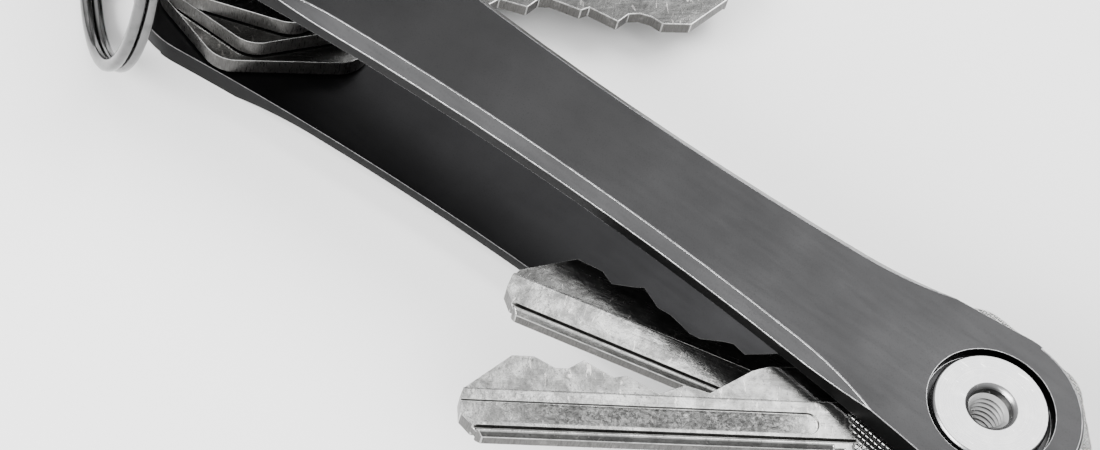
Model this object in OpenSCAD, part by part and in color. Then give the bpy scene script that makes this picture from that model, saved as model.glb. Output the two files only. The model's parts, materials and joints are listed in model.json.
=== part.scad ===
// Key organiser: two waisted plates hold swing-out keys on threaded posts.
// The origin is in the middle of the outer face of the rear plate, which is the rest face.
// X runs along the plates towards the post that carries two keys, and Z goes up from the rear plate.

/* [Plates] */
// Distance between the axes of the two posts
post_spacing = 86; // [80:1:104]
// Radius of the round ends of the plates
end_r = 8.6; // [8.2:0.1:9.4]
// Width of the plates at the middle of the waist
waist_w = 11.6; // [10.6:0.1:13]
// Thickness of each plate
plate_t = 2.4; // [2.1:0.1:3.2]
// Depth of the bevel along the long edges
bevel_d = 1.1; // [0.6:0.1:1.3]
// Width of the bevel along the long edges
bevel_w = 1.1; // [0.7:0.1:1.5]
// Distance from a post axis at which the bevel starts to run out
runout_x = 17; // [15:0.5:20]
// Radius of the curve on which the bevel runs out
runout_r = 34; // [28:1:42]
// Chamfer along the rim of the round ends, on the outer face
rim_chamfer = 0.25; // [0.15:0.05:0.4]

/* [Posts and screws] */
// Outer diameter of the post barrels
post_d = 5.6; // [5.4:0.1:6]
// Diameter of the heads of the posts and screws
head_d = 10.8; // [10:0.1:11.2]
// Thickness of the heads of the posts and screws
head_t = 1.3; // [1.1:0.1:1.5]
// Chamfer around the heads
head_chamfer = 0.2; // [0.1:0.05:0.3]
// Major diameter of the thread inside the posts
thread_d = 4; // [3.5:0.5:4]
// Length of the screw shanks, measured from the underside of the head
screw_l = 9; // [7:0.5:10]
// Width of the coin slot in the screw heads
slot_w = 1.6; // [1.2:0.1:2]
// Depth of the coin slot in the screw heads
slot_d = 0.7; // [0.4:0.1:0.8]

/* [Stack] */
// Height of one level of the stack between the plates
level_h = 2.2; // [2.1:0.1:2.6]
// Thickness of the friction washers against the plates
washer_t = 0.3; // [0.2:0.1:0.5]
// Outer diameter of the friction washers and the spacers
washer_d = 10; // [9:0.1:11]

/* [Keys] */
// Gap above and below each key in its level
key_gap = 0.1; // [0.1:0.05:0.2]
// Distance from the hole to the tip of the top key at the near post
key_1_l = 47; // [43:0.5:50]
// Distance from the hole to the tip of the lower key at the near post
key_2_l = 44; // [42:0.5:50]
// Distance from the hole to the tip of the top key at the far post
key_3_l = 47; // [43:0.5:50]
// Distance from the hole to the tip of the middle key at the far post
key_4_l = 49; // [43:0.5:52]
// Distance from the hole to the tip of the lowest key at the far post
key_5_l = 52; // [45:0.5:54]
// Width of the key blades
blade_w = 8.4; // [7.8:0.1:9]
// Shift of the blade of the top key at the near post away from its cuts
key_1_shift = -0.9; // [-1:0.1:1]
// Shift of the blade of the lower key at the near post away from its cuts
key_2_shift = 1.2; // [-1:0.1:1.2]
// Radius of the corners of the bows
bow_corner_r = 3.5; // [2.5:0.1:4]
// Width of the bows of the two keys at the near post
near_bow_w = 24; // [21:0.5:25]
// Distance from the hole to the end of the bow at the near post
near_bow_back = 10; // [9:0.1:10.5]
// Distance from the hole to the front of the bow at the near post
near_bow_front = 13; // [11:0.5:14]
// Width of the bow of the top key at the far post
far_top_bow_w = 22.5; // [20:0.5:23]
// Width of the bows of the two lower keys at the far post
far_bow_w = 20.5; // [19:0.5:22]
// Distance from the hole to the end of the bow at the far post
far_bow_back = 6.2; // [5.6:0.1:7]
// Distance from the hole to the front of the bow at the far post
far_bow_front = 16; // [14.5:0.5:17]
// Depth of the shelf along the cuts and of the groove along the spine
groove_d = 0.5; // [0.3:0.1:0.6]
// Depth of the hollow in the face of the top key at the near post
hollow_d = 0.2; // [0.1:0.05:0.3]

/* [Key ring] */
// Distance from the post axis to the ring hole in the loop piece
loop_l = 16; // [15.5:0.5:19]
// Width of the loop piece
loop_w = 9; // [8.6:0.2:10]
// Gap above and below the loop piece in its level
loop_gap = 0.2; // [0.1:0.05:0.4]
// Diameter of the ring hole in the loop piece
loop_hole_d = 4.8; // [4.6:0.1:5.2]
// Outer diameter of the split ring
ring_d = 27; // [25:0.5:32]
// Thickness of the wire of the split ring along the radius
wire_t = 1.3; // [1:0.1:1.5]
// Width of one turn of the wire of the split ring
wire_w = 1.1; // [0.9:0.1:1.2]

/* [Swing] */
// Angle of the top key at the near post, from its folded place
key_1_angle = 38.5; // [30:0.5:60]
// Angle of the lower key at the near post
key_2_angle = 15; // [12:0.5:25]
// Angle of the top key at the far post
key_3_angle = 75; // [30:0.5:80]
// Angle of the middle key at the far post
key_4_angle = 54; // [30:0.5:70]
// Angle of the lowest key at the far post
key_5_angle = 41; // [30:0.5:60]
// Direction of the split ring from its hole in the loop piece
ring_angle = -41; // [-90:1:-41]
// Lean of the split ring about the line from its hole to its centre
ring_lean = -11; // [-11:0.5:0]

/* [Hidden] */
$fn = 96;
// Facets per turn on the long arcs of the plate edges
long_arc_fn = 1440;
// Overshoot of the cutting tools
e = 0.5;
// Smallest step between two cuts that meet
hair = 0.01;
// Angle by which the curve of the bevel overlaps its straight part
runout_overlap_a = 6;
// Thickness of the keys and of the loop piece, which fill their levels
key_t = level_h - 2 * key_gap;
loop_t = level_h - 2 * loop_gap;
// Radial clearances of the barrels in keys and plates, of the heads and of the screw shanks
key_fit = 0.08;
plate_fit = 0.1;
head_fit = 0.5;
screw_fit = 0.1;
// Gap that lets a screw pull the plates together before it meets the barrel
pull_gap = 0.2;
// Chamfer at the mouth of the thread, and relief groove past the end of the screw
thread_chamfer = 0.3;
relief_w = 0.5;
relief_d = 0.25;
// Height of the lowest point of the split ring
ring_floor_gap = 0.1;
// Groove between the two turns of the split ring
turn_groove_w = 0.2;
turn_groove_d = 0.3;
// Bitting of each kind of key: distance back from the tip, and depth of the edge there
cuts_a = [
    [6.8, 0], [8.6, 1.1], [9.8, 1.1], [11.2, 0.2], [13.8, 1.8], [15, 1.6],
    [17.8, 3.3], [20.2, 2.3], [22.4, 3], [26.5, 0.5], [28, 0],
];
cuts_b = [
    [7.4, 0.2], [8.6, 1.1], [10.6, 0.5], [11.5, 0.1], [13.4, 1.6], [14.7, 1.8],
    [17, 2.9], [18, 3], [20, 2.3], [21, 2.1], [22.3, 2.7], [24.4, 1.6], [27, 0],
];
cuts_c = [
    [7.8, 0], [8.8, 0.8], [10, 1.2], [11.2, 1.1], [12.4, 0.1], [15.2, 1.8], [16.1, 1.4],
    [19, 2.7], [20.3, 2.7], [21.6, 1.6], [24.4, 2.5], [27, 0.8], [28.5, 0],
];
// Blade profile: narrow groove along the spine, hollow in the middle, chamfer on the spine
groove_w = 0.35;
groove_in = 0.8;
hollow_w = 2.1;
hollow_in = 2.4;
spine_chamfer = 0.4;
// Length of each milled feature inside the front of the bow
mill_run_in = 1;

levels = 6;
post_x = post_spacing / 2;
stack_z = plate_t + washer_t;
front_inner_z = stack_z + levels * level_h + washer_t;
total_h = front_inner_z + plate_t;
head_r = head_d / 2;
barrel_r = post_d / 2;
thread_r = thread_d / 2;
key_hole_r = barrel_r + key_fit;
bore_r = barrel_r + plate_fit;
recess_r = head_r + head_fit;
// Each long edge is an arc tangent to both round ends, and the bevel follows it.
half_waist = waist_w / 2;
edge_r = (pow(post_x, 2) + pow(half_waist, 2) - pow(end_r, 2)) / (2 * (end_r - half_waist));
edge_y = half_waist + edge_r;
edge_a = atan(post_x / edge_y);
tangent_x = post_x - end_r * sin(edge_a);
tangent_y = end_r * cos(edge_a);
flat_r = edge_r + bevel_w;
runout_a = asin((post_x - runout_x) / flat_r);
rim_a = 86;
// The ring leans a little, with its lowest point just above the rest plane.
ring_r = (ring_d - wire_t) / 2;
loop_level = 4;
ring_pitch = asin((ring_d / 2 + ring_floor_gap - level_mid(loop_level)) / ring_r);

function level_low(n) = stack_z + (n - 1) * level_h;
function level_mid(n) = level_low(n) + level_h / 2;
function unit(v) = v / norm(v);
// Outward normal of the edge from a to b of an outline that runs anticlockwise
function edge_normal(a, b) = unit([b[1] - a[1], a[0] - b[0]]);

module at_near() { translate([post_x, 0, 0]) children(); }
module at_far() { translate([-post_x, 0, 0]) children(); }
module both_sides() {
    children();
    mirror([0, 1, 0]) children();
}
module both_ends() {
    children();
    mirror([1, 0, 0]) children();
}

// ---- Plates ----
module plate_outline() {
    difference() {
        square([2 * tangent_x, 2 * tangent_y], center = true);
        both_sides() translate([0, edge_y]) circle(r = edge_r + hair, $fn = long_arc_fn);
    }
    both_ends()
        intersection() {
            translate([post_x, 0]) circle(r = end_r);
            translate([tangent_x, -end_r]) square([2 * end_r, 2 * end_r]);
        }
}

// Section of a cutter for a slope that leaves the face z = 0 at radius r and falls towards the axis
module slope_in(r, w, d) {
    polygon([
        [r + w * e / d, e],
        [r - 2 * w, e],
        [r - 2 * w, -2 * d],
    ]);
}

// The same for a slope that falls away from the axis
module slope_out(r, w, d) {
    polygon([
        [r - w * e / d, e],
        [r + 2 * w, -2 * d],
        [r + 2 * w, e],
    ]);
}

// Arc of a cutter about the centre of one long edge, a degrees to each side of the middle
module edge_sweep(a) {
    translate([0, edge_y, 0])
        rotate([0, 0, -90 - a])
            rotate_extrude(angle = 2 * a, $fn = long_arc_fn) children();
}

// The bevel runs along the waist, then turns outwards on a tighter cone until it leaves the edge.
// The run-out cone starts inside the main cut and a hair short of it, so that the two cuts overlap.
module bevel_cut() {
    edge_sweep(runout_a) slope_in(flat_r, bevel_w, bevel_d);
    both_ends()
        translate([0, edge_y, 0])
            rotate([0, 0, -90 + runout_a])
                translate([flat_r - runout_r, 0, 0])
                    rotate([0, 0, -runout_overlap_a])
                        rotate_extrude(angle = 30 + runout_overlap_a, $fn = 4 * $fn)
                            slope_in(runout_r - hair, bevel_w, bevel_d);
}

// The rim of each round end has a small chamfer, as far as the end of the run-out.
module rim_cut() {
    both_ends()
        translate([post_x, 0, 0])
            rotate([0, 0, -rim_a])
                rotate_extrude(angle = 2 * rim_a)
                    slope_out(end_r - rim_chamfer, rim_chamfer, rim_chamfer);
}

// A plate with its inner face on z = 0 and its outer face on z = plate_t
module plate() {
    difference() {
        linear_extrude(plate_t) plate_outline();
        translate([0, 0, plate_t]) {
            both_sides() bevel_cut();
            rim_cut();
        }
        both_ends() translate([post_x, 0, 0]) {
            translate([0, 0, -e]) cylinder(r = bore_r, h = plate_t + 2 * e);
            translate([0, 0, plate_t - head_t]) cylinder(r = recess_r, h = head_t + e);
        }
    }
}

module front_plate() { color("dimgray") translate([0, 0, front_inner_z]) plate(); }
module rear_plate() { color("dimgray") translate([0, 0, plate_t]) mirror([0, 0, 1]) plate(); }

// ---- Posts and screws ----
// Half section of a head with a chamfered rim, its outer face on z = head_t
module head_section() {
    polygon([
        [0, 0],
        [head_r, 0],
        [head_r, head_t - head_chamfer],
        [head_r - head_chamfer, head_t],
        [0, head_t],
    ]);
}

// A post hangs from its head, which sits in the recess of the front plate.
module post() {
    head_z = total_h - head_t;
    barrel_z = head_t + pull_gap;
    relief_z = head_t + screw_l + pull_gap;
    difference() {
        union() {
            translate([0, 0, head_z]) rotate_extrude() head_section();
            translate([0, 0, barrel_z]) cylinder(r = barrel_r, h = total_h - head_t / 2 - barrel_z);
        }
        translate([0, 0, -e]) cylinder(r = thread_r, h = total_h + 2 * e);
        translate([0, 0, relief_z]) cylinder(r = thread_r + relief_d, h = relief_w);
        translate([0, 0, total_h - thread_chamfer])
            cylinder(r1 = thread_r, r2 = thread_r + 2 * thread_chamfer, h = 2 * thread_chamfer);
    }
}

// A screw comes from the recess of the rear plate.
module screw() {
    difference() {
        union() {
            translate([0, 0, head_t]) mirror([0, 0, 1]) rotate_extrude() head_section();
            translate([0, 0, head_t / 2]) cylinder(r = thread_r - screw_fit, h = head_t / 2 + screw_l);
        }
        translate([-slot_w / 2, -head_r - e, -e]) cube([slot_w, head_d + 2 * e, slot_d + e]);
    }
}

module near_post() { color("silver") at_near() post(); }
module far_post() { color("silver") at_far() post(); }
module near_screw() { color("silver") at_near() screw(); }
module far_screw() { color("silver") at_far() screw(); }

// ---- Washers and spacers ----
module disc(low, h) {
    translate([0, 0, low])
        difference() {
            cylinder(d = washer_d, h = h);
            translate([0, 0, -e]) cylinder(r = key_hole_r, h = h + 2 * e);
        }
}

module washer(low) { color("gainsboro") disc(low, washer_t); }
module spacer(level) { color("black") disc(level_low(level), level_h); }

module near_front_washer() { at_near() washer(front_inner_z - washer_t); }
module near_rear_washer() { at_near() washer(plate_t); }
module far_front_washer() { at_far() washer(front_inner_z - washer_t); }
module far_rear_washer() { at_far() washer(plate_t); }
module near_spacer_1() { at_near() spacer(1); }
module near_spacer_2() { at_near() spacer(2); }
module near_spacer_3() { at_near() spacer(3); }
module near_spacer_4() { at_near() spacer(5); }
module far_spacer_1() { at_far() spacer(5); }
module far_spacer_2() { at_far() spacer(6); }

// ---- Loop piece and split ring ----
module loop_piece() {
    color("silver")
        translate([-post_x, 0, level_mid(loop_level) - loop_t / 2])
            difference() {
                linear_extrude(loop_t)
                    union() {
                        circle(d = loop_w);
                        translate([-loop_l, 0]) circle(d = loop_w);
                        translate([-loop_l, -loop_w / 2]) square([loop_l, loop_w]);
                    }
                translate([0, 0, -e]) cylinder(r = key_hole_r, h = loop_t + 2 * e);
                translate([-loop_l, 0, -e]) cylinder(d = loop_hole_d, h = loop_t + 2 * e);
            }
}

// Section of the two turns of flat wire, side by side, with the groove between them on both edges
module wire_section() {
    difference() {
        translate([ring_d / 2 - wire_t, -wire_w]) square([wire_t, 2 * wire_w]);
        for (r = [ring_d / 2 - wire_t, ring_d / 2])
            translate([r, 0]) square([2 * turn_groove_d, turn_groove_w], center = true);
    }
}

module split_ring() {
    color("silver")
        translate([-post_x - loop_l, 0, level_mid(loop_level)])
            rotate([0, -ring_pitch, ring_angle])
                rotate([ring_lean, 0, 0])
                    translate([ring_r, 0, 0])
                        rotate([90, 0, 0])
                            rotate_extrude($fn = 2 * $fn) wire_section();
}

// ---- Keys ----
// A convex outline with round corners: core holds the centres of the corner circles, anticlockwise.
// The corner circles stand a hair proud of the straight sides, so that they cross them.
module round_outline(core, r) {
    n = len(core);
    polygon([
        for (i = [0 : n - 1])
            for (v = [edge_normal(core[(i + n - 1) % n], core[i]), edge_normal(core[i], core[(i + 1) % n])])
                core[i] + (r - hair) * v
    ]);
    for (c = core)
        translate(c) circle(r = r, $fn = 48);
}

// Eight-sided bow, widest from side_x1 to side_x2, with its ends narrower by the shares given
module bow(w, back, front, side_x1, side_x2, back_share, front_share) {
    r = bow_corner_r;
    half = w / 2 - r;
    upper = [
        [front - r, (w / 2) * front_share - r],
        [side_x2, half],
        [side_x1, half],
        [r - back, (w / 2) * back_share - r],
    ];
    lower = [for (i = [len(upper) - 1 : -1 : 0]) [upper[i][0], -upper[i][1]]];
    round_outline(concat(upper, lower), r);
}

// The blade tapers to a blunt tip, and its lower edge follows the bitting.
module blade(length, low, cuts) {
    high = low + blade_w;
    polygon(concat(
        [[0, high], [0, low]],
        [for (i = [len(cuts) - 1 : -1 : 0]) [length - cuts[i][0], low + cuts[i][1]]],
        [
            [length - 4.8, low],
            [length - 0.4, low + 3.5],
            [length, low + 4.6],
            [length, low + blade_w - 2.2],
            [length - 1.8, high],
        ]
    ));
}

// Slot with a round end at start, from the face z = 0 down
module slot(start, y, w, depth, length) {
    translate([start, y - w / 2, -depth]) cube([length, w, depth + e]);
    translate([start, y, -depth]) cylinder(r = w / 2 + hair, h = depth + 2 * e, $fn = 32);
}

// Milling of one face, which lies on z = 0: the groove and the chamfer along the spine
module spine_milling(start, high, length) {
    slot(start - mill_run_in, high - groove_in, groove_w, groove_d, length);
    translate([start + mill_run_in, high - spine_chamfer / 2, -spine_chamfer / 2])
        rotate([-45, 0, 0])
            translate([0, -key_t / 2, 0]) cube([length, key_t, key_t]);
}

// Shelf along the cuts, on the same face
module shelf_milling(start, low, w, length) {
    translate([start - mill_run_in, low - e, -groove_d]) cube([length, w + e, groove_d + e]);
}

// A key with its hole on the Z axis and its blade along +X; children() is the outline of its bow.
module key(level, length, front, shift, shelf, upper_shelf, hollow, cuts) {
    low = shift - blade_w / 2;
    color("silver")
        translate([0, 0, level_mid(level) - key_t / 2])
            difference() {
                linear_extrude(key_t)
                    union() {
                        children();
                        blade(length, low, cuts);
                    }
                translate([0, 0, -e]) cylinder(r = key_hole_r, h = key_t + 2 * e);
                translate([0, 0, key_t]) spine_milling(front, low + blade_w, length);
                mirror([0, 0, 1]) spine_milling(front, low + blade_w, length);
                translate([0, 0, upper_shelf ? key_t : 0])
                    mirror([0, 0, upper_shelf ? 0 : 1]) shelf_milling(front, low, shelf, length);
                if (hollow)
                    translate([0, 0, key_t])
                        slot(front + 3.2, low + blade_w - hollow_in, hollow_w, hollow_d, length);
            }
}

// The keys at the near post fold towards -X and swing out past the front edge.
module key_1() {
    at_near() rotate([0, 0, 180 + key_1_angle])
        key(6, key_1_l, near_bow_front, key_1_shift, 3.7, true, true, cuts_a)
            bow(near_bow_w, near_bow_back, near_bow_front, -1, 3, 0.55, 0.6);
}
module key_2() {
    at_near() rotate([0, 0, 180 + key_2_angle])
        key(4, key_2_l, near_bow_front, key_2_shift, 4.4, true, false, cuts_b)
            bow(near_bow_w, near_bow_back, near_bow_front, 0, 3, 0.65, 0.7);
}
// The keys at the far post fold towards +X and swing out past the back edge.
module key_3() {
    at_far() rotate([0, 0, key_3_angle])
        key(3, key_3_l, far_bow_front, 0, 3.6, false, false, cuts_b)
            bow(far_top_bow_w, far_bow_back, far_bow_front, 2, 9, 0.45, 0.7);
}
module key_4() {
    at_far() rotate([0, 0, key_4_angle])
        key(2, key_4_l, far_bow_front, 0, 3.6, false, false, cuts_a)
            bow(far_bow_w, far_bow_back, far_bow_front, 1.5, 10, 0.45, 0.7);
}
module key_5() {
    at_far() rotate([0, 0, key_5_angle])
        key(1, key_5_l, far_bow_front, 0, 3.6, false, false, cuts_c)
            bow(far_bow_w, far_bow_back, far_bow_front, 1, 11, 0.45, 0.75);
}

front_plate();
rear_plate();
near_post();
far_post();
near_screw();
far_screw();
near_front_washer();
near_rear_washer();
far_front_washer();
far_rear_washer();
near_spacer_1();
near_spacer_2();
near_spacer_3();
near_spacer_4();
far_spacer_1();
far_spacer_2();
loop_piece();
split_ring();
key_1();
key_2();
key_3();
key_4();
key_5();
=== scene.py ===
import bpy
import bmesh
import json
import math
from mathutils import Euler, Matrix, Vector

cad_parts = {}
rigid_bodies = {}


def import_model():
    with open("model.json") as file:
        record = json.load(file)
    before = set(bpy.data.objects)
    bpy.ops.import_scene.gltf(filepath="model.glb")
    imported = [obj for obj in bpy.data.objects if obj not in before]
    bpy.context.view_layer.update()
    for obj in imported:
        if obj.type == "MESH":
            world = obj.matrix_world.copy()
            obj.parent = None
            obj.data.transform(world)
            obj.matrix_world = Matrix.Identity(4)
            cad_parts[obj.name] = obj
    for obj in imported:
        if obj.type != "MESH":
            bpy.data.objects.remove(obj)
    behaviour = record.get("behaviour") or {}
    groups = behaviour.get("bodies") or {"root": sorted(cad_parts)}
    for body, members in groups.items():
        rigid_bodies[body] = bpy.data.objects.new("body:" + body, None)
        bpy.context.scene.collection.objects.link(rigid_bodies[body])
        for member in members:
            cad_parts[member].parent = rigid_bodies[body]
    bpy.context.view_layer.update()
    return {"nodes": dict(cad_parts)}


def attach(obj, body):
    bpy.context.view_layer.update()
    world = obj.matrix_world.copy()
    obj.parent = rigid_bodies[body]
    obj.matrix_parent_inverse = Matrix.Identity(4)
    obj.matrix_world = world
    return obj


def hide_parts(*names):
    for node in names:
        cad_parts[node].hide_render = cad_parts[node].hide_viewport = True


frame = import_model()
MM = 0.001

# Sizes that the finished pieces share with the frame, in millimetres.
POST_X = 43.0
TOTAL_H = 18.6
HEAD_R = 5.4
HEAD_T = 1.3
BARREL_R = 2.8
BARREL_Z = 1.5
THREAD_R = 2.0
THREAD_LOW = 11.0
THREAD_PITCH = 0.7
RELIEF_W = 0.5
RELIEF_D = 0.25
RING_HOLE = (-59.0, 0.0, 10.4)
RING_R = 12.85
RING_TURN = -41.0
RING_LEAN = -11.0
RING_RISE = math.degrees(math.asin((13.6 - RING_HOLE[2]) / RING_R))
NEAR_KEY_GREY = 0.22
# The far keys get a darker grey than the near ones: painted shade, as they lie in the shade of the
# front plate.
FAR_KEY_SHADED_GREY = 0.12
# The keys' edge bevels are much brighter than their faces: polished burrs, and also a painted highlight
# where the edges catch the light.
BURR_AND_HIGHLIGHT_GREY = 0.42
# For each near key: the height of its face, the line of the step along its shelf, and the shelf's grey,
# darker than the face as painted shade.
KEY_SHELVES = {
    "key_1": (15.8, -1.4, 0.17),
    "key_2": (11.4, 1.4, 0.09),
}
KEY_PLACES = {
    "key_1": (POST_X, 218.5),
    "key_2": (POST_X, 195.0),
    "key_3": (-POST_X, 75.0),
    "key_4": (-POST_X, 54.0),
    "key_5": (-POST_X, 41.0),
}

# Material slots of the plates and of the keys.
FACE_SLOT = 0
SIDE_SLOT = 1
RIM_SLOT = 2
# The plates' inner and slope slots hold darker copies of the face finish, which is painted shade.
INNER_SHADE_SLOT = 3
SLOPE_SHADE_SLOT = 4
BURR_HIGHLIGHT_SLOT = 2
SHADED_SHELF_SLOT = 3

# The dome's strength at its dimmest, and what it gains along each axis: from, to, gain.
DOME_DIM = 0.35
DOME_SLOPES = (("Z", 0.1, 0.95, 1.45), ("Y", -0.9, 0.4, 0.3), ("X", -0.5, 0.6, -0.3))


# ---------------------------------------------------------------- camera
def add_camera():
    """A long lens looks down on the near post from the front."""
    data = bpy.data.cameras.new("camera")
    data.lens = 89.43
    data.sensor_width = 36.0
    data.clip_start = 0.01
    camera = bpy.data.objects.new("camera", data)
    bpy.context.scene.collection.objects.link(camera)
    camera.location = (0.052923, -0.141595, 0.218302)
    camera.rotation_euler = [math.radians(a) for a in (33.816, -9.826, 35.514)]
    bpy.context.scene.camera = camera


# ---------------------------------------------------------------- tools
def deselect_all():
    if bpy.context.object and bpy.context.object.mode == "EDIT":
        bpy.ops.object.mode_set(mode="OBJECT")
    for thing in bpy.data.objects:
        thing.select_set(False)


def make_active(piece):
    deselect_all()
    piece.select_set(True)
    bpy.context.view_layer.objects.active = piece


def apply_modifiers(piece):
    make_active(piece)
    for modifier in list(piece.modifiers):
        bpy.ops.object.modifier_apply(modifier=modifier.name)


def settle(piece):
    """Puts the piece's place into its mesh."""
    make_active(piece)
    bpy.ops.object.transform_apply(location=True, rotation=True, scale=True)


def smooth_faces(piece, angle=35):
    make_active(piece)
    bpy.ops.object.shade_smooth_by_angle(angle=math.radians(angle))
    weigh = piece.modifiers.new("even", "WEIGHTED_NORMAL")
    weigh.keep_sharp = True
    weigh.weight = 80
    apply_modifiers(piece)


def finished_copy(node_name, name, edge, materials, segments=2, edge_material=None, clamp=False):
    """Copies a frame node, merges its triangles and breaks its sharp edges."""
    source = frame["nodes"][node_name]
    piece = source.copy()
    piece.data = source.data.copy()
    piece.name = name
    piece.data.name = name
    bpy.context.scene.collection.objects.link(piece)
    piece.parent = None
    piece.matrix_world = Matrix.Identity(4)
    piece.data.materials.clear()
    for material in materials:
        piece.data.materials.append(material)
    make_active(piece)
    bpy.ops.object.mode_set(mode="EDIT")
    bpy.ops.mesh.select_all(action="SELECT")
    bpy.ops.mesh.customdata_custom_splitnormals_clear()
    bpy.ops.mesh.remove_doubles(threshold=1.4e-5)
    bpy.ops.mesh.dissolve_limited(angle_limit=math.radians(0.4))
    bpy.ops.object.mode_set(mode="OBJECT")
    bevel = piece.modifiers.new("broken_edge", "BEVEL")
    bevel.width = edge * MM
    bevel.segments = segments
    bevel.limit_method = "ANGLE"
    bevel.angle_limit = math.radians(28)
    bevel.use_clamp_overlap = clamp
    bevel.harden_normals = False
    if edge_material is not None:
        bevel.material = edge_material
    apply_modifiers(piece)
    return piece


def slot_by_face(piece, rule):
    """Gives each face the material slot that the rule returns from its middle and normal."""
    for face in piece.data.polygons:
        index = rule(face.center / MM, face.normal, face.material_index)
        face.material_index = index


def declare(piece, body, slot, *nodes):
    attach(piece, body)
    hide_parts(*nodes)


# ---------------------------------------------------------------- materials
class Finish:
    """A metal or plastic finish, built from nodes that read the piece's own coordinates."""

    def __init__(self, name, base, rough, metallic=1.0, place=(0, 0, 0), turn=(0, 0, 0)):
        self.material = bpy.data.materials.new(name)
        self.material.use_nodes = True
        self.tree = self.material.node_tree
        self.shader = self.tree.nodes["Principled BSDF"]
        self.base = base
        self.shader.inputs["Metallic"].default_value = metallic
        self.shader.inputs["Base Color"].default_value = (*base, 1)
        self.shader.inputs["Roughness"].default_value = rough
        self.rough = rough
        coords = self.add("ShaderNodeTexCoord")
        moved = self.add("ShaderNodeMapping")
        moved.vector_type = "TEXTURE"
        self.tree.links.new(coords.outputs["Object"], moved.inputs["Vector"])
        moved.inputs["Location"].default_value = [v * MM for v in place]
        moved.inputs["Rotation"].default_value = [math.radians(a) for a in turn]
        moved.inputs["Scale"].default_value = (MM, MM, MM)
        self.coords = moved.outputs["Vector"]
        self.normal = None
        self.colour = None
        self.roughness = None

    def add(self, kind):
        return self.tree.nodes.new(kind)

    def stretch(self, scale):
        node = self.add("ShaderNodeMapping")
        node.inputs["Scale"].default_value = scale
        self.tree.links.new(self.coords, node.inputs["Vector"])
        return node.outputs["Vector"]

    def noise(self, scale, detail=3.0, grit=0.5, stretch=None, twist=0.0):
        node = self.add("ShaderNodeTexNoise")
        node.inputs["Scale"].default_value = scale
        node.inputs["Detail"].default_value = detail
        node.inputs["Roughness"].default_value = grit
        node.inputs["Distortion"].default_value = twist
        source = self.stretch(stretch) if stretch else self.coords
        self.tree.links.new(source, node.inputs["Vector"])
        return node.outputs[0]

    def rings(self, scale, detail=2.0):
        """Noise that changes only with the distance from the Z axis."""
        flat = self.stretch((1, 1, 0))
        length = self.add("ShaderNodeVectorMath")
        length.operation = "LENGTH"
        self.tree.links.new(flat, length.inputs[0])
        node = self.add("ShaderNodeTexNoise")
        node.noise_dimensions = "1D"
        node.inputs["Scale"].default_value = scale
        node.inputs["Detail"].default_value = detail
        self.tree.links.new(length.outputs["Value"], node.inputs["W"])
        return node.outputs[0]

    def span(self, source, low, high, to_low=0.0, to_high=1.0):
        node = self.add("ShaderNodeMapRange")
        node.clamp = True
        node.inputs["From Min"].default_value = low
        node.inputs["From Max"].default_value = high
        node.inputs["To Min"].default_value = to_low
        node.inputs["To Max"].default_value = to_high
        self.tree.links.new(source, node.inputs["Value"])
        return node.outputs["Result"]

    def maths(self, operation, a, b):
        node = self.add("ShaderNodeMath")
        node.operation = operation
        for i, value in enumerate((a, b)):
            if isinstance(value, (int, float)):
                node.inputs[i].default_value = value
            else:
                self.tree.links.new(value, node.inputs[i])
        return node.outputs["Value"]

    def axis(self, which):
        node = self.add("ShaderNodeSeparateXYZ")
        self.tree.links.new(self.coords, node.inputs["Vector"])
        return node.outputs[which]

    def tint(self, factor, colour):
        """Mixes the base colour towards the given colour."""
        node = self.add("ShaderNodeMix")
        node.data_type = "RGBA"
        node.inputs["A"].default_value = (*self.base, 1)
        node.inputs["B"].default_value = (*colour, 1)
        if self.colour is not None:
            self.tree.links.new(self.colour, node.inputs["A"])
        self.tree.links.new(factor, node.inputs["Factor"])
        self.colour = node.outputs["Result"]
        self.tree.links.new(self.colour, self.shader.inputs["Base Color"])

    def roughen(self, factor, amount):
        """Adds the factor, from 0 to 1, times the amount to the roughness."""
        total = self.maths("MULTIPLY_ADD", factor, amount)
        if self.roughness is None:
            total.node.inputs[2].default_value = self.rough
        else:
            self.tree.links.new(self.roughness, total.node.inputs[2])
        self.roughness = total
        self.tree.links.new(total, self.shader.inputs["Roughness"])

    def bump(self, height, strength, depth):
        node = self.add("ShaderNodeBump")
        node.inputs["Strength"].default_value = strength
        node.inputs["Distance"].default_value = depth * MM
        self.tree.links.new(height, node.inputs["Height"])
        if self.normal is not None:
            self.tree.links.new(self.normal, node.inputs["Normal"])
        self.normal = node.outputs["Normal"]
        self.tree.links.new(self.normal, self.shader.inputs["Normal"])


def blasted_aluminium(name, base, rough, worn=0.0):
    """Bead-blasted and anodised, with a soft grain and faint rubbed patches."""
    finish = Finish(name, base, rough)
    light = tuple(min(1, c * 1.35) for c in base)
    dark = tuple(c * 0.78 for c in base)
    cloud = finish.span(finish.noise(0.09, 4, 0.55), 0.35, 0.7)
    finish.tint(cloud, light)
    specks = finish.span(finish.noise(7.0, 2, 0.6), 0.56, 0.68, 0, 0.5)
    finish.tint(specks, dark)
    rubbed = finish.noise(1.4, 4, 0.6, stretch=(0.12, 1.1, 1.0))
    finish.roughen(finish.span(rubbed, 0.4, 0.7), 0.05)
    finish.roughen(finish.noise(0.25, 3), 0.05)
    finish.bump(finish.noise(5.5, 3, 0.6), 0.22, 0.016)
    if worn:
        patches = finish.span(finish.noise(1.1, 5, 0.65), 0.38, 0.6, 0, worn)
        finish.tint(patches, (0.55, 0.55, 0.56))
    return finish.material


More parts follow.
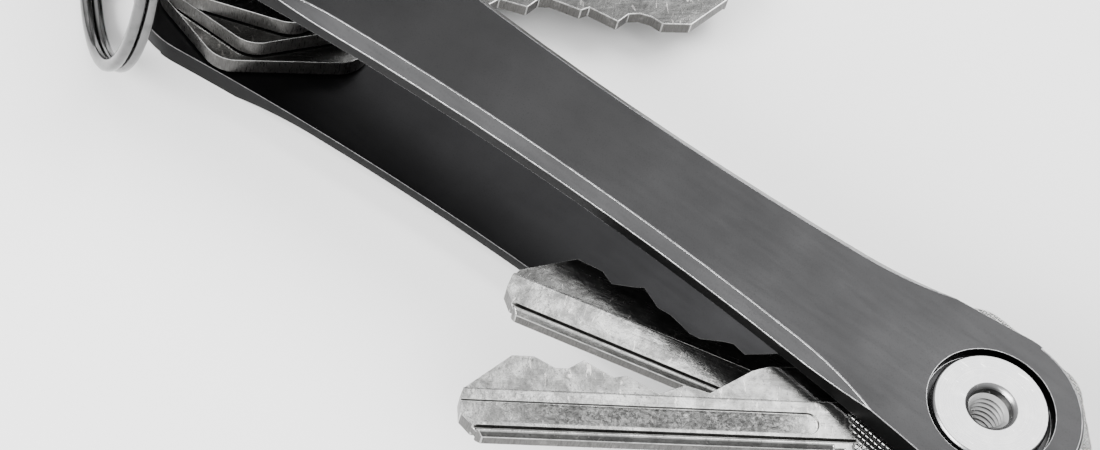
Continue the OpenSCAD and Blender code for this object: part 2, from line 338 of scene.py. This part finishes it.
def turned_steel(name, x, base=(0.26, 0.26, 0.263), rough=0.22):
    """Faced on a lathe: fine rings about the post."""
    finish = Finish(name, base, rough, place=(x, 0, 0))
    finish.bump(finish.rings(16.0, 3), 0.25, 0.012)
    finish.bump(finish.noise(3.0, 3), 0.06, 0.02)
    finish.roughen(finish.rings(7.0, 2), 0.12)
    finish.tint(finish.span(finish.noise(0.8, 4, 0.6), 0.5, 0.75, 0, 0.5), (0.34, 0.337, 0.333))
    nicks = finish.span(finish.noise(2.2, 2, 0.5, stretch=(0.25, 2.2, 1), twist=0.6), 0.68, 0.74)
    finish.tint(nicks, (0.5, 0.5, 0.5))
    return finish.material


def key_face(name, x, turn, base=(0.26, 0.26, 0.257), pitted=False, meshed=False, step=None):
    """Worn nickel plate: scratches along the blade, pits, and a dull film in patches."""
    finish = Finish(name, base, 0.14, place=(x, 0, 0), turn=(0, 0, turn))
    film = finish.span(finish.noise(0.45, 6, 0.65, twist=0.4), 0.4, 0.62)
    finish.tint(film, tuple(c * 0.55 for c in base))
    pits = finish.span(finish.noise(4.2, 3, 0.6), 0.6, 0.7)
    finish.tint(pits, tuple(c * 0.35 for c in base))
    strokes = finish.noise(3.2, 4, 0.65, stretch=(0.06, 2.4, 1))
    finish.roughen(finish.span(strokes, 0.35, 0.7), 0.1)
    finish.roughen(film, 0.08)
    finish.bump(strokes, 0.3, 0.02)
    finish.bump(finish.noise(0.6, 4, 0.55), 0.45, 0.12)
    finish.bump(pits, -0.4, 0.02)
    cross = finish.span(finish.noise(2.0, 2, 0.5, stretch=(1.2, 0.3, 1), twist=0.8), 0.66, 0.7, 0, 0.6)
    finish.tint(cross, (0.35, 0.34, 0.33))
    if step is not None:
        # A near-black line along the step past the bow: painted shade in the crease of the step.
        away = finish.maths("ABSOLUTE", finish.maths("SUBTRACT", finish.axis("Y"), step), 0)
        line = finish.span(away, 0.24, 0.1)
        past_bow = finish.span(finish.axis("X"), 13.0, 14.5)
        step_crease_shade = finish.maths("MULTIPLY", line, past_bow)
        finish.tint(step_crease_shade, (0.012, 0.012, 0.012))
    if pitted:
        along = finish.axis("X")
        across = finish.axis("Y")
        bow_end = finish.span(along, 15.5, 19.0)
        tip_end = finish.span(along, 46.0, 38.0)
        low_side = finish.span(across, -0.12, 0.15)
        high_side = finish.span(across, 1.95, 1.7)
        ends = finish.maths("MULTIPLY", bow_end, tip_end)
        sides = finish.maths("MULTIPLY", low_side, high_side)
        zone = finish.maths("MULTIPLY", ends, sides)
        grit = finish.noise(2.6, 4, 0.7, twist=0.5)
        finish.bump(finish.maths("MULTIPLY", zone, grit), 0.9, 0.16)
        dirt = finish.maths("MULTIPLY", zone, finish.span(grit, 0.4, 0.6))
        finish.tint(dirt, tuple(c * 0.25 for c in base))
        finish.roughen(zone, 0.12)
    if meshed:
        along = finish.axis("X")
        across = finish.axis("Y")
        lines = None
        for sign in (1, -1):
            slant = finish.maths("MULTIPLY_ADD", across, sign * 1.0)
            finish.tree.links.new(along, slant.node.inputs[2])
            wave = finish.maths("SINE", finish.maths("MULTIPLY", slant, 9.0), 0)
            ridge = finish.span(wave, -0.2, 0.9)
            lines = ridge if lines is None else finish.maths("MAXIMUM", lines, ridge)
        bow_zone = finish.span(along, 12.4, 12.0)
        pattern = finish.maths("MULTIPLY", lines, bow_zone)
        finish.bump(pattern, 0.8, 0.12)
        # The valleys of the stamped mesh are darkened: painted shade in its grooves.
        valleys = finish.span(lines, 0.5, 0.0, 0, 0.75)
        finish.tint(finish.maths("MULTIPLY", bow_zone, valleys), (0.12, 0.12, 0.12))
    return finish.material


def key_wall(name, x, turn, base=(0.09, 0.088, 0.085)):
    """The stamped and cut edges of a key: short lines through its thickness, and dirt."""
    finish = Finish(name, base, 0.27, place=(x, 0, 0), turn=(0, 0, turn))
    shear = finish.noise(5.0, 4, 0.6, stretch=(1.6, 1.6, 0.16))
    finish.tint(finish.span(shear, 0.48, 0.66, 0, 0.6), (0.05, 0.049, 0.047))
    finish.tint(finish.span(finish.noise(0.7, 4, 0.6), 0.55, 0.72, 0, 0.5), (0.22, 0.217, 0.21))
    finish.roughen(finish.span(shear, 0.4, 0.65), 0.2)
    finish.bump(shear, 0.3, 0.03)
    return finish.material


def polished_wire(name):
    """Polished nickel wire given a dark base as painted shade, for the dark surroundings it mirrors,
    with fine hair scratches and dull spots.
    """
    finish = Finish(name, (0.13, 0.13, 0.13), 0.12, place=RING_HOLE, turn=(0, 0, RING_TURN))
    finish.tint(finish.span(finish.noise(0.6, 5, 0.6), 0.5, 0.72, 0, 0.7), (0.06, 0.06, 0.06))
    hairs = finish.noise(2.6, 3, 0.6, stretch=(1, 3.0, 0.5), twist=0.5)
    finish.roughen(finish.span(hairs, 0.4, 0.7), 0.14)
    finish.bump(hairs, 0.14, 0.03)
    return finish.material


def brushed_steel(name):
    """Steel that is brushed one way."""
    finish = Finish(name, (0.3, 0.3, 0.3), 0.25)
    strokes = finish.noise(3.4, 4, 0.6, stretch=(0.05, 2.4, 1))
    finish.bump(strokes, 0.25, 0.02)
    finish.roughen(strokes, 0.16)
    finish.tint(finish.span(finish.noise(0.5, 4, 0.6), 0.5, 0.75, 0, 0.5), (0.2, 0.2, 0.196))
    return finish.material


def matt_nylon(name, x):
    """Moulded black nylon with faint flow rings."""
    finish = Finish(name, (0.02, 0.02, 0.022), 0.5, metallic=0.0, place=(x, 0, 0))
    finish.tint(finish.span(finish.noise(1.6, 4, 0.6), 0.45, 0.7), (0.034, 0.034, 0.036))
    finish.roughen(finish.noise(2.4, 3), 0.18)
    finish.bump(finish.noise(6.0, 3, 0.6), 0.25, 0.02)
    return finish.material


# ---------------------------------------------------------------- plates
def make_plates():
    face = blasted_aluminium("anodised_face", (0.021, 0.021, 0.0215), 0.32)
    # The side, inner and bevel finishes are darker copies of the face's anodised finish: painted shade
    # on the faces that turn away from the light.
    side = blasted_aluminium("anodised_side_painted_shade", (0.006, 0.006, 0.0062), 0.34)
    # The rim finish on the edge bevels is much brighter than the face: worn bare metal, and also a
    # painted highlight where the edges catch the light.
    rim = blasted_aluminium("rim_wear_and_painted_highlight", (0.14, 0.14, 0.142), 0.22, worn=0.35)
    inner = blasted_aluminium("anodised_inner_painted_shade", (0.012, 0.012, 0.0125), 0.34)
    slope = blasted_aluminium("anodised_bevel_painted_shade", (0.009, 0.009, 0.0092), 0.26)
    for node, outward in (("front_plate", 1), ("rear_plate", -1)):
        slots = (face, side, rim, inner, slope)
        plate = finished_copy(node, node + "_finished", 0.06, slots, edge_material=RIM_SLOT)

        def rule(middle, normal, now, outward=outward):
            if now == RIM_SLOT:
                return RIM_SLOT
            # Faces towards the keys, the walls and the slopes get the darker painted-shade slots.
            if normal.z * outward < -0.9:
                return INNER_SHADE_SLOT
            if abs(normal.z) < 0.3:
                return SIDE_SLOT
            return FACE_SLOT if abs(normal.z) > 0.97 else SLOPE_SHADE_SLOT

        slot_by_face(plate, rule)
        smooth_faces(plate)
        declare(plate, "frame", "plate", node)


# ---------------------------------------------------------------- posts and screws
def lathe(name, profile, x, steps=128):
    """Spins a closed profile of (radius, height) about the axis of a post."""
    deselect_all()
    bpy.ops.mesh.primitive_circle_add(vertices=len(profile), radius=MM, location=(0, 0, 0))
    piece = bpy.context.object
    piece.name = name
    piece.data.name = name
    bpy.ops.object.mode_set(mode="EDIT")
    mesh = bmesh.from_edit_mesh(piece.data)
    mesh.verts.ensure_lookup_table()
    for vertex, (radius, height) in zip(mesh.verts, profile):
        vertex.co = (radius * MM, 0, height * MM)
    bmesh.update_edit_mesh(piece.data)
    bpy.ops.mesh.select_all(action="SELECT")
    bpy.ops.mesh.spin(steps=steps, angle=2 * math.pi, center=(0, 0, 0), axis=(0, 0, 1))
    bpy.ops.mesh.select_all(action="SELECT")
    bpy.ops.mesh.remove_doubles(threshold=1e-6)
    bpy.ops.mesh.normals_make_consistent(inside=False)
    bpy.ops.object.mode_set(mode="OBJECT")
    piece.location = (x * MM, 0, 0)
    settle(piece)
    return piece


def rounded(profile, cut):
    """Cuts each corner of a closed profile with two points."""
    out = []
    count = len(profile)
    for i, here in enumerate(profile):
        here = Vector(here)
        for other in (Vector(profile[i - 1]), Vector(profile[(i + 1) % count])):
            run = other - here
            out.append(tuple(here + run.normalized() * min(cut, run.length * 0.4)))
    return out


def make_post(node, x):
    """The head with its turned face, the barrel, and the bore with a relief groove for its thread."""
    low = TOTAL_H - HEAD_T
    top = TOTAL_H
    profile = [
        (THREAD_R, BARREL_Z),
        (BARREL_R, BARREL_Z),
        (BARREL_R, low),
        (HEAD_R, low),
        (HEAD_R, top - 0.24),
        (HEAD_R - 0.22, top),
        (THREAD_R + 0.42, top),
        (THREAD_R, top - 0.42),
        (THREAD_R, THREAD_LOW),
        (THREAD_R + RELIEF_D, THREAD_LOW),
        (THREAD_R + RELIEF_D, THREAD_LOW - RELIEF_W),
        (THREAD_R, THREAD_LOW - RELIEF_W),
    ]
    post = lathe(node + "_turned", rounded(profile, 0.045), x)
    steel = turned_steel(node + "_steel", x)
    # The bore gets a much darker, rougher copy of the head's steel: painted shade inside the hole.
    bore = turned_steel(node + "_bore", x, base=(0.05, 0.05, 0.05), rough=0.4)
    post.data.materials.append(steel)
    post.data.materials.append(bore)

    def rule(middle, normal, now):
        radius = math.hypot(middle.x - x, middle.y)
        return 1 if radius < THREAD_R + 0.04 and middle.z < top - 0.4 else 0

    slot_by_face(post, rule)
    smooth_faces(post, 50)
    declare(post, "frame", "post", node)
    return post


def make_thread(name, x):
    """A coil of thread in the mouth of the bore, closed at both ends."""
    deselect_all()
    bpy.ops.mesh.primitive_circle_add(vertices=6, radius=MM, location=(0, 0, 0))
    piece = bpy.context.object
    piece.name = name
    piece.data.name = name
    section = [
        (THREAD_R + 0.03, -0.3),
        (THREAD_R - 0.06, -0.27),
        (THREAD_R - 0.42, -0.04),
        (THREAD_R - 0.42, 0.04),
        (THREAD_R - 0.06, 0.27),
        (THREAD_R + 0.03, 0.3),
    ]
    bpy.ops.object.mode_set(mode="EDIT")
    mesh = bmesh.from_edit_mesh(piece.data)
    mesh.verts.ensure_lookup_table()
    for vertex, (radius, height) in zip(mesh.verts, section):
        vertex.co = (radius * MM, 0, (THREAD_LOW + THREAD_PITCH / 2 + height) * MM)
    bmesh.update_edit_mesh(piece.data)
    bpy.ops.object.mode_set(mode="OBJECT")
    coil = piece.modifiers.new("coil", "SCREW")
    coil.axis = "Z"
    coil.screw_offset = THREAD_PITCH * MM
    coil.iterations = 9
    coil.steps = 56
    coil.render_steps = 56
    coil.use_merge_vertices = False
    apply_modifiers(piece)
    bpy.ops.object.mode_set(mode="EDIT")
    bpy.ops.mesh.select_all(action="DESELECT")
    bpy.ops.mesh.select_non_manifold()
    bpy.ops.mesh.fill_holes(sides=0)
    bpy.ops.mesh.select_all(action="SELECT")
    bpy.ops.mesh.normals_make_consistent(inside=False)
    bpy.ops.object.mode_set(mode="OBJECT")
    piece.location = (x * MM, 0, 0)
    settle(piece)
    finish = turned_steel(name + "_steel", x, base=(0.5, 0.5, 0.5), rough=0.24)
    piece.data.materials.append(finish)
    smooth_faces(piece, 30)
    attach(piece, "frame")


def make_stack():
    for side, x in (("near", POST_X), ("far", -POST_X)):
        make_post(side + "_post", x)
        make_thread(side + "_thread", x)
        steel = turned_steel(side + "_screw_steel", x)
        screw = finished_copy(side + "_screw", side + "_screw_finished", 0.07, (steel,), clamp=True)
        smooth_faces(screw)
        declare(screw, "frame", "screw", side + "_screw")
        nylon = matt_nylon(side + "_nylon", x)
        shim = turned_steel(side + "_shim", x, base=(0.4, 0.4, 0.4), rough=0.3)
        for name in sorted(frame["nodes"]):
            if name.startswith(side + "_") and ("spacer" in name or "washer" in name):
                washer = "washer" in name
                edge = 0.05 if washer else 0.15
                disc = finished_copy(name, name + "_finished", edge, (shim if washer else nylon,))
                smooth_faces(disc)
                declare(disc, "frame", "washer" if washer else "spacer", name)


# ---------------------------------------------------------------- loop piece and split ring
def make_loop_piece():
    steel = brushed_steel("loop_steel")
    tab = finished_copy("loop_piece", "loop_piece_finished", 0.22, (steel,), segments=3)
    smooth_faces(tab)
    declare(tab, "loop_piece", "loop_piece", "loop_piece")


def make_split_ring():
    """Two turns of oval wire side by side, with a step from one turn to the other."""
    points = 14
    steps = 240
    half_pitch = 0.55
    deselect_all()
    bpy.ops.mesh.primitive_circle_add(vertices=points, radius=MM, location=(0, 0, 0))
    ring = bpy.context.object
    ring.name = "split_ring_wire"
    ring.data.name = "split_ring_wire"
    bpy.ops.object.mode_set(mode="EDIT")
    mesh = bmesh.from_edit_mesh(ring.data)
    mesh.verts.ensure_lookup_table()
    for i, vertex in enumerate(mesh.verts):
        angle = 2 * math.pi * i / points
        across = math.copysign(abs(math.cos(angle)) ** 0.75, math.cos(angle))
        along = math.copysign(abs(math.sin(angle)) ** 0.75, math.sin(angle))
        vertex.co = ((RING_R + 0.64 * across) * MM, 0, 0.53 * along * MM)
    bmesh.update_edit_mesh(ring.data)
    bpy.ops.object.mode_set(mode="OBJECT")
    turns = ring.modifiers.new("turns", "SCREW")
    turns.axis = "Z"
    turns.angle = 4 * math.pi * 0.992
    turns.screw_offset = 0.0
    turns.iterations = 1
    turns.steps = steps
    turns.render_steps = steps
    turns.use_merge_vertices = False
    apply_modifiers(ring)
    for i, vertex in enumerate(ring.data.vertices):
        share = (i // points) / steps
        ease = min(1, max(0, (share - 0.475) / 0.05))
        ease = ease * ease * (3 - 2 * ease)
        vertex.co.z += (2 * ease - 1) * half_pitch * MM
    make_active(ring)
    bpy.ops.object.mode_set(mode="EDIT")
    bpy.ops.mesh.select_all(action="DESELECT")
    bpy.ops.mesh.select_non_manifold()
    bpy.ops.mesh.fill_holes(sides=0)
    bpy.ops.mesh.select_all(action="SELECT")
    bpy.ops.mesh.normals_make_consistent(inside=False)
    bpy.ops.object.mode_set(mode="OBJECT")
    place = Matrix.Translation(Vector(RING_HOLE) * MM)
    place @= Euler((0, -math.radians(RING_RISE), math.radians(RING_TURN))).to_matrix().to_4x4()
    place @= Matrix.Rotation(math.radians(RING_LEAN), 4, "X")
    place @= Matrix.Translation((RING_R * MM, 0, 0))
    place @= Matrix.Rotation(math.radians(90), 4, "X")
    place @= Matrix.Rotation(math.radians(200), 4, "Z")
    ring.matrix_world = place
    settle(ring)
    ring.data.materials.append(polished_wire("ring_wire_painted_shade"))
    smooth_faces(ring, 60)
    declare(ring, "split_ring", "split_ring", "split_ring")


# ---------------------------------------------------------------- keys
def nickel(grey):
    return (grey, grey, grey * 0.98)


def make_keys():
    for name, (x, turn) in KEY_PLACES.items():
        top = name == "key_1"
        # The far keys take the darker grey, which is painted shade.
        grey = NEAR_KEY_GREY if x > 0 else FAR_KEY_SHADED_GREY
        high, step, shelf_shade_grey = KEY_SHELVES.get(name, (None, None, grey))
        face = key_face(name + "_face", x, turn, nickel(grey), pitted=top, meshed=top, step=step)
        # The shelf is a darker copy of the face finish: painted shade on the lower face.
        shelf = key_face(name + "_shelf", x, turn, nickel(shelf_shade_grey), step=step)
        wall = key_wall(name + "_wall", x, turn)
        # Brighter finish for the edge bevels: burrs, and a painted highlight along the edges.
        bright = key_face(name + "_burr", x, turn, nickel(BURR_AND_HIGHLIGHT_GREY))
        slots = (face, wall, bright, shelf)
        key = finished_copy(name, name + "_finished", 0.09, slots, edge_material=BURR_HIGHLIGHT_SLOT)

        def rule(middle, normal, now, high=high):
            if now == BURR_HIGHLIGHT_SLOT:
                return BURR_HIGHLIGHT_SLOT
            # Top-facing faces below the face height get the painted-shade shelf slot.
            if high is not None and normal.z > 0.9 and middle.z < high - 0.3:
                return SHADED_SHELF_SLOT
            return SIDE_SLOT if abs(normal.z) < 0.6 else FACE_SLOT

        slot_by_face(key, rule)
        smooth_faces(key)
        declare(key, name, name, name)


# ---------------------------------------------------------------- studio
def add_panel(name, place, target, size, power, colour=(1, 1, 1)):
    data = bpy.data.lights.new(name, "AREA")
    data.shape = "RECTANGLE"
    data.size, data.size_y = size
    data.energy = power
    data.color = colour
    panel = bpy.data.objects.new(name, data)
    bpy.context.scene.collection.objects.link(panel)
    panel.location = place
    aim = Vector(target) - Vector(place)
    panel.rotation_euler = aim.to_track_quat("-Z", "Y").to_euler()


def add_world():
    """A white dome, bright overhead and dim towards the horizon and the front."""
    world = bpy.data.worlds.new("studio")
    bpy.context.scene.world = world
    world.use_nodes = True
    tree = world.node_tree
    sky = tree.nodes["Background"]
    sky.inputs["Color"].default_value = (1, 1, 1, 1)
    coords = tree.nodes.new("ShaderNodeTexCoord")
    parts = tree.nodes.new("ShaderNodeSeparateXYZ")
    tree.links.new(coords.outputs["Generated"], parts.inputs["Vector"])
    total = None
    for axis, low, high, share in DOME_SLOPES:
        ramp = tree.nodes.new("ShaderNodeMapRange")
        ramp.interpolation_type = "SMOOTHSTEP"
        ramp.inputs["From Min"].default_value = low
        ramp.inputs["From Max"].default_value = high
        ramp.inputs["To Min"].default_value = 0.0
        ramp.inputs["To Max"].default_value = share
        tree.links.new(parts.outputs[axis], ramp.inputs["Value"])
        joined = tree.nodes.new("ShaderNodeMath")
        joined.operation = "ADD"
        joined.inputs[1].default_value = DOME_DIM
        tree.links.new(ramp.outputs["Result"], joined.inputs[0])
        if total is not None:
            tree.links.new(total, joined.inputs[1])
        total = joined.outputs["Value"]
    tree.links.new(total, sky.inputs["Strength"])


def add_studio():
    add_world()
    add_panel("back_panel", (0.12, 0.42, 0.55), (0.02, 0, 0), (0.5, 0.4), 6.0)
    add_panel("front_panel", (-0.25, -0.5, 0.35), (0, 0, 0.01), (0.5, 0.3), 13.0)
    deselect_all()
    bpy.ops.mesh.primitive_plane_add(size=4.0, location=(0, 0, 0))
    floor = bpy.context.object
    floor.name = "floor"
    paper = bpy.data.materials.new("pale_floor")
    paper.use_nodes = True
    shader = paper.node_tree.nodes["Principled BSDF"]
    shader.inputs["Base Color"].default_value = (0.9, 0.9, 0.9, 1)
    shader.inputs["Roughness"].default_value = 0.85
    floor.data.materials.append(paper)


add_camera()
make_plates()
make_stack()
make_loop_piece()
make_split_ring()
make_keys()
add_studio()
deselect_all()
